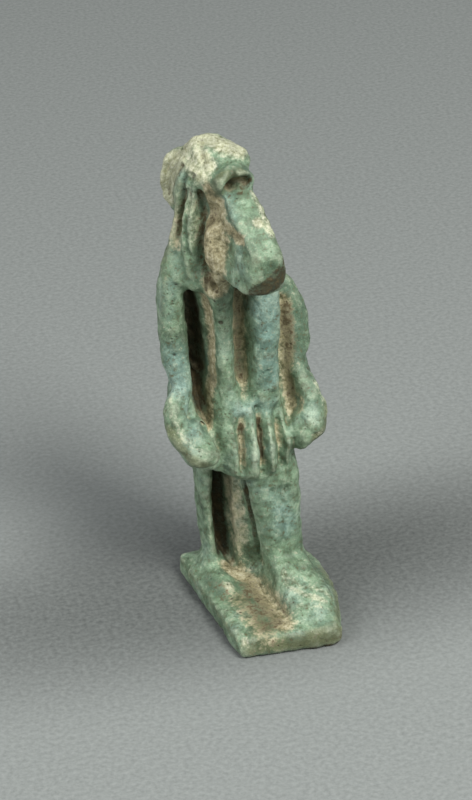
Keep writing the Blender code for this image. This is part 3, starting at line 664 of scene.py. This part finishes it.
class Tree:
    """Shortcuts for building a node tree."""

    def __init__(self, material):
        material.use_nodes = True
        self.tree = material.node_tree
        self.shader = self.tree.nodes["Principled BSDF"]
        self.where = self.tree.nodes.new("ShaderNodeTexCoord").outputs["Object"]

    def put(self, socket, value):
        if isinstance(value, bpy.types.NodeSocket):
            self.tree.links.new(value, socket)
        else:
            socket.default_value = value

    def math(self, kind, a, b=0.0, clamp=False):
        node = self.tree.nodes.new("ShaderNodeMath")
        node.operation = kind
        node.use_clamp = clamp
        self.put(node.inputs[0], a)
        self.put(node.inputs[1], b)
        return node.outputs[0]

    def noise(self, per_metre, detail=4.0, rough=0.55, warp=0.0):
        node = self.tree.nodes.new("ShaderNodeTexNoise")
        self.put(node.inputs["Vector"], self.where)
        node.inputs["Scale"].default_value = per_metre
        node.inputs["Detail"].default_value = detail
        node.inputs["Roughness"].default_value = rough
        node.inputs["Distortion"].default_value = warp
        return node.outputs[0]

    def cells(self, per_metre):
        node = self.tree.nodes.new("ShaderNodeTexVoronoi")
        self.put(node.inputs["Vector"], self.where)
        node.inputs["Scale"].default_value = per_metre
        split = self.tree.nodes.new("ShaderNodeSeparateColor")
        self.tree.links.new(node.outputs["Color"], split.inputs[0])
        return node.outputs["Distance"], split.outputs[0]

    def mark(self, name):
        node = self.tree.nodes.new("ShaderNodeAttribute")
        node.attribute_name = name
        return node.outputs["Fac"]

    def fit(self, value, low, high, to_low=0.0, to_high=1.0):
        node = self.tree.nodes.new("ShaderNodeMapRange")
        node.interpolation_type = "SMOOTHSTEP"
        self.put(node.inputs["Value"], value)
        node.inputs["From Min"].default_value = low
        node.inputs["From Max"].default_value = high
        node.inputs["To Min"].default_value = to_low
        node.inputs["To Max"].default_value = to_high
        return node.outputs[0]

    def mix(self, share, a, b):
        node = self.tree.nodes.new("ShaderNodeMix")
        node.data_type = "RGBA"
        self.put(node.inputs[0], share)
        self.put(node.inputs[6], a)
        self.put(node.inputs[7], b)
        return node.outputs[2]

    def ramp(self, value, stops):
        node = self.tree.nodes.new("ShaderNodeValToRGB")
        self.put(node.inputs[0], value)
        band = node.color_ramp
        while len(band.elements) < len(stops):
            band.elements.new(0.5)
        for element, (at, colour) in zip(band.elements, stops):
            element.position = at
            element.color = (*colour, 1)
        return node.outputs[0]


# Colours of the faience, each plain or as stops of a ramp.

GREEN_GLAZE = (
    (0.36, (0.095, 0.155, 0.088)),
    (0.46, (0.155, 0.240, 0.148)),
    (0.54, (0.205, 0.308, 0.200)),
    (0.62, (0.315, 0.410, 0.275)),
)
BLUE_GLAZE = (
    (0.38, (0.135, 0.235, 0.195)),
    (0.52, (0.195, 0.315, 0.265)),
    (0.66, (0.29, 0.41, 0.34)),
)
DEEP_GLAZE = (0.085, 0.150, 0.095, 1)
OLIVE_GLAZE = (0.130, 0.135, 0.058, 1)
CHALKY_GLAZE = (0.38, 0.42, 0.30, 1)
STAINED_GLAZE = (0.130, 0.125, 0.062, 1)
WORN_GLAZE = (0.42, 0.47, 0.34, 1)
BARE_BODY = ((0.35, (0.31, 0.31, 0.18)), (0.5, (0.46, 0.47, 0.32)), (0.65, (0.62, 0.62, 0.47)))
EARTH = ((0.38, (0.17, 0.125, 0.055)), (0.5, (0.36, 0.31, 0.18)), (0.62, (0.58, 0.53, 0.37)))
# Near-black: partly soil, partly painted shade in the deepest hollows.
SOIL_AND_SHADE = ((0.40, (0.012, 0.009, 0.003)), (0.50, (0.036, 0.027, 0.010)), (0.64, (0.090, 0.067, 0.027)))
PIT_BROWN = (0.055, 0.045, 0.025, 1)


def faience():
    """Worn blue-green glaze, cream where it has gone, tan dirt in the hollows and dark pits; near-black in
    the deepest hollows, partly dirt and partly painted shade.
    """
    material = bpy.data.materials.new("faience_fine")
    t = Tree(material)
    broad = t.noise(330, 3)
    middle = t.noise(1200, 5, 0.65)
    small = t.noise(3600, 4, 0.7)
    grain = t.noise(9500, 3, 0.7)
    edge = t.mark("edge")
    hollow = t.mark("hollow")
    crease = t.mark("crease")

    mottle = t.math("ADD", t.math("MULTIPLY", broad, 0.5), t.math("MULTIPLY", middle, 0.5))
    green = t.ramp(mottle, GREEN_GLAZE)
    blue = t.ramp(mottle, BLUE_GLAZE)
    bluish = t.math("ADD", t.mark("blue"), t.fit(broad, 0.5, 0.66, 0.0, 0.5), clamp=True)
    glaze = t.mix(bluish, green, blue)
    broken = t.math("ADD", t.math("SUBTRACT", middle, 0.5), t.math("SUBTRACT", small, 0.5))
    deep_here = t.math("ADD", t.mark("deep"), t.math("MULTIPLY", broken, 1.2))
    deep = t.math("MAXIMUM", t.fit(deep_here, 0.25, 0.95), t.fit(broad, 0.42, 0.32, 0.0, 0.6))
    glaze = t.mix(t.math("MULTIPLY", deep, 0.75), glaze, DEEP_GLAZE)
    olive_here = t.math("ADD", t.mark("olive"), t.math("MULTIPLY", broken, 1.2))
    glaze = t.mix(t.math("MULTIPLY", t.fit(olive_here, 0.22, 0.95), 0.75), glaze, OLIVE_GLAZE)
    chalky = t.math("MULTIPLY", t.fit(small, 0.52, 0.7), t.fit(middle, 0.4, 0.6, 0.25, 0.8))
    glaze = t.mix(chalky, glaze, CHALKY_GLAZE)
    stained = t.math("MULTIPLY", t.fit(small, 0.50, 0.34), t.fit(middle, 0.6, 0.4, 0.25, 0.9))
    glaze = t.mix(stained, glaze, STAINED_GLAZE)

    worn = t.math("MULTIPLY", t.fit(edge, 0.12, 0.75), t.fit(small, 0.3, 0.6, 0.35, 1.0))
    colour = t.mix(t.math("MULTIPLY", worn, 0.55), glaze, WORN_GLAZE)

    cream_here = t.math("ADD", t.mark("cream"), t.math("MULTIPLY", broken, 1.0))
    cream = t.fit(cream_here, 0.22, 0.85)
    colour = t.mix(t.math("MULTIPLY", cream, 0.92), colour, t.ramp(small, BARE_BODY))

    tan_here = t.math("ADD", t.mark("tan"), t.math("MULTIPLY", broken, 1.5))
    low = t.math("ADD", t.math("MULTIPLY", hollow, 0.8), t.math("MULTIPLY", crease, 0.5))
    low = t.math("ADD", low, t.math("MULTIPLY", broken, 0.45))
    tan = t.math("MAXIMUM", t.fit(tan_here, 0.28, 0.95), t.fit(low, 0.5, 1.0))
    earth = t.ramp(t.math("ADD", t.math("MULTIPLY", middle, 0.4), t.math("MULTIPLY", small, 0.6)), EARTH)
    colour = t.mix(t.math("MULTIPLY", tan, 0.88), colour, earth)

    # Near-black in the deepest hollows and along the dark strokes: partly caked dirt, partly painted shade
    # of the grooves.
    dark_here = t.math("ADD", t.mark("dark"), t.math("MULTIPLY", broken, 1.7))
    dark = t.math("MAXIMUM", t.fit(dark_here, 0.32, 0.95), t.fit(hollow, 0.64, 0.96))
    caked_dirt_and_shade = t.math("MULTIPLY", dark, t.fit(broken, -0.16, 0.08, 0.8, 0.96))
    soil_and_shade = t.ramp(t.math("ADD", t.math("MULTIPLY", middle, 0.5), t.math("MULTIPLY", small, 0.5)), SOIL_AND_SHADE)
    colour = t.mix(caked_dirt_and_shade, colour, soil_and_shade)

    distance, pick = t.cells(1100)
    distance = t.math("ADD", distance, t.math("MULTIPLY", t.math("SUBTRACT", grain, 0.5), 0.16))
    pit = t.math("MULTIPLY", t.fit(distance, 0.14, 0.06), t.fit(pick, 0.80, 0.84))
    speck_distance, speck_pick = t.cells(3000)
    speck = t.math("MULTIPLY", t.fit(speck_distance, 0.28, 0.12), t.fit(speck_pick, 0.78, 0.82))
    pitted = t.math("MAXIMUM", pit, t.math("MULTIPLY", speck, 0.6))
    pitted = t.math("MAXIMUM", pitted, t.fit(t.mark("pit"), 0.35, 0.8))
    colour = t.mix(t.math("MULTIPLY", pitted, 0.8), colour, PIT_BROWN)
    shade = t.math("MULTIPLY", t.fit(grain, 0.3, 0.7, 0.84, 1.14), t.fit(middle, 0.35, 0.65, 0.82, 1.16))
    tint = t.tree.nodes.new("ShaderNodeVectorMath")
    tint.operation = "SCALE"
    t.put(tint.inputs[0], colour)
    t.put(tint.inputs["Scale"], shade)
    t.put(t.shader.inputs["Base Color"], tint.outputs[0])

    dull = t.math("MAXIMUM", t.math("MAXIMUM", tan, t.math("MULTIPLY", cream, 0.8)), dark)
    gloss = t.fit(small, 0.3, 0.7, 0.30, 0.55)
    rough = t.math("ADD", gloss, t.math("MULTIPLY", dull, 0.3), clamp=True)
    t.put(t.shader.inputs["Roughness"], rough)
    t.shader.inputs["Specular IOR Level"].default_value = 0.4

    height = t.math("ADD", t.math("MULTIPLY", small, 0.8), t.math("MULTIPLY", grain, 0.4))
    height = t.math("SUBTRACT", height, t.math("MULTIPLY", pitted, 0.9))
    bump = t.tree.nodes.new("ShaderNodeBump")
    bump.inputs["Strength"].default_value = 0.75
    bump.inputs["Distance"].default_value = 0.00012
    t.put(bump.inputs["Height"], height)
    t.put(t.shader.inputs["Normal"], bump.outputs[0])
    return material


def paper():
    """A plain grey floor with a painted shadow: darker within an ellipse round the base, 50 mm to each side
    and 17 mm deep.
    """
    material = bpy.data.materials.new("floor_paper")
    t = Tree(material)
    fleck = t.noise(2600, 4, 0.6)
    colour = t.ramp(fleck, ((0.3, (0.215, 0.232, 0.224)), (0.7, (0.295, 0.316, 0.306))))
    painted_shadow = t.ramp(fleck, ((0.3, (0.090, 0.098, 0.094)), (0.7, (0.165, 0.178, 0.171))))
    spread = t.tree.nodes.new("ShaderNodeMapping")
    t.put(spread.inputs["Vector"], t.where)
    spread.inputs["Location"].default_value = (0.0, -0.22, 0)
    spread.inputs["Scale"].default_value = (20, 58, 1)
    reach = t.tree.nodes.new("ShaderNodeVectorMath")
    reach.operation = "LENGTH"
    t.put(reach.inputs[0], spread.outputs[0])
    # Painted shadow round the base: the floor is darker towards the ellipse's middle.
    colour = t.mix(t.fit(reach.outputs["Value"], 0.15, 1.0), painted_shadow, colour)
    t.put(t.shader.inputs["Base Color"], colour)
    t.shader.inputs["Roughness"].default_value = 0.9
    bump = t.tree.nodes.new("ShaderNodeBump")
    bump.inputs["Strength"].default_value = 0.15
    bump.inputs["Distance"].default_value = 0.0001
    t.put(bump.inputs["Height"], fleck)
    t.put(t.shader.inputs["Normal"], bump.outputs[0])
    return material


# Stage


def add_floor():
    size = 1.5
    mesh = bpy.data.meshes.new("floor")
    corners = ((-size, -size, 0), (size, -size, 0), (size, size, 0), (-size, size, 0))
    mesh.from_pydata(corners, [], [(0, 1, 2, 3)])
    floor = bpy.data.objects.new("floor", mesh)
    bpy.context.scene.collection.objects.link(floor)
    mesh.materials.append(paper())


def add_camera():
    """The photograph's camera: from the front, a little to the left and well above."""
    azimuth, elevation, roll = math.radians(-15), math.radians(29), math.radians(-3)
    back = Vector(
        (
            math.sin(azimuth) * math.cos(elevation),
            -math.cos(azimuth) * math.cos(elevation),
            math.sin(elevation),
        )
    )
    level = Vector((math.cos(azimuth), math.sin(azimuth), 0))
    upright = back.cross(level)
    right = math.cos(roll) * level + math.sin(roll) * upright
    up = -math.sin(roll) * level + math.cos(roll) * upright
    target = Vector((-1.3, 0.5, 18)) * MM
    distance = 0.241
    sensor, half_view = 36, math.radians(7)
    lens = bpy.data.cameras.new("camera")
    lens.sensor_width = sensor
    lens.lens = sensor / 2 / math.tan(half_view)
    lens.clip_start = 0.01
    lens.clip_end = 10
    camera = bpy.data.objects.new("camera", lens)
    turn = Matrix((right, up, back)).transposed().to_4x4()
    camera.matrix_world = Matrix.Translation(target + back * distance) @ turn
    bpy.context.scene.collection.objects.link(camera)
    bpy.context.scene.camera = camera


def add_lamp(name, place, size, power, colour):
    """A square lamp aimed at the amulet."""
    aim = (0, 0, 0.015)
    data = bpy.data.lights.new(name, "AREA")
    data.size = size
    data.energy = power
    data.color = colour
    lamp = bpy.data.objects.new(name, data)
    lamp.location = place
    lamp.rotation_euler = (Vector(aim) - Vector(place)).to_track_quat("-Z", "Y").to_euler()
    bpy.context.scene.collection.objects.link(lamp)


def add_light():
    world = bpy.data.worlds.new("studio")
    bpy.context.scene.world = world
    world.use_nodes = True
    background = world.node_tree.nodes["Background"]
    background.inputs["Color"].default_value = (0.96, 0.98, 1.0, 1)
    background.inputs["Strength"].default_value = 0.30
    add_lamp("key", (0.10, -0.25, 0.30), size=0.15, power=1.65, colour=(1.0, 0.99, 0.96))
    add_lamp("fill", (-0.28, -0.08, 0.26), size=0.2, power=0.68, colour=(1, 1, 1))
    bpy.context.scene.view_settings.view_transform = "Standard"


add_camera()
add_floor()
add_light()
skin = build_skin()
mark_skin(skin)
skin.data.materials.append(faience())
skin.data.shade_smooth()
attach(skin, "root")
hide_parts("amulet")
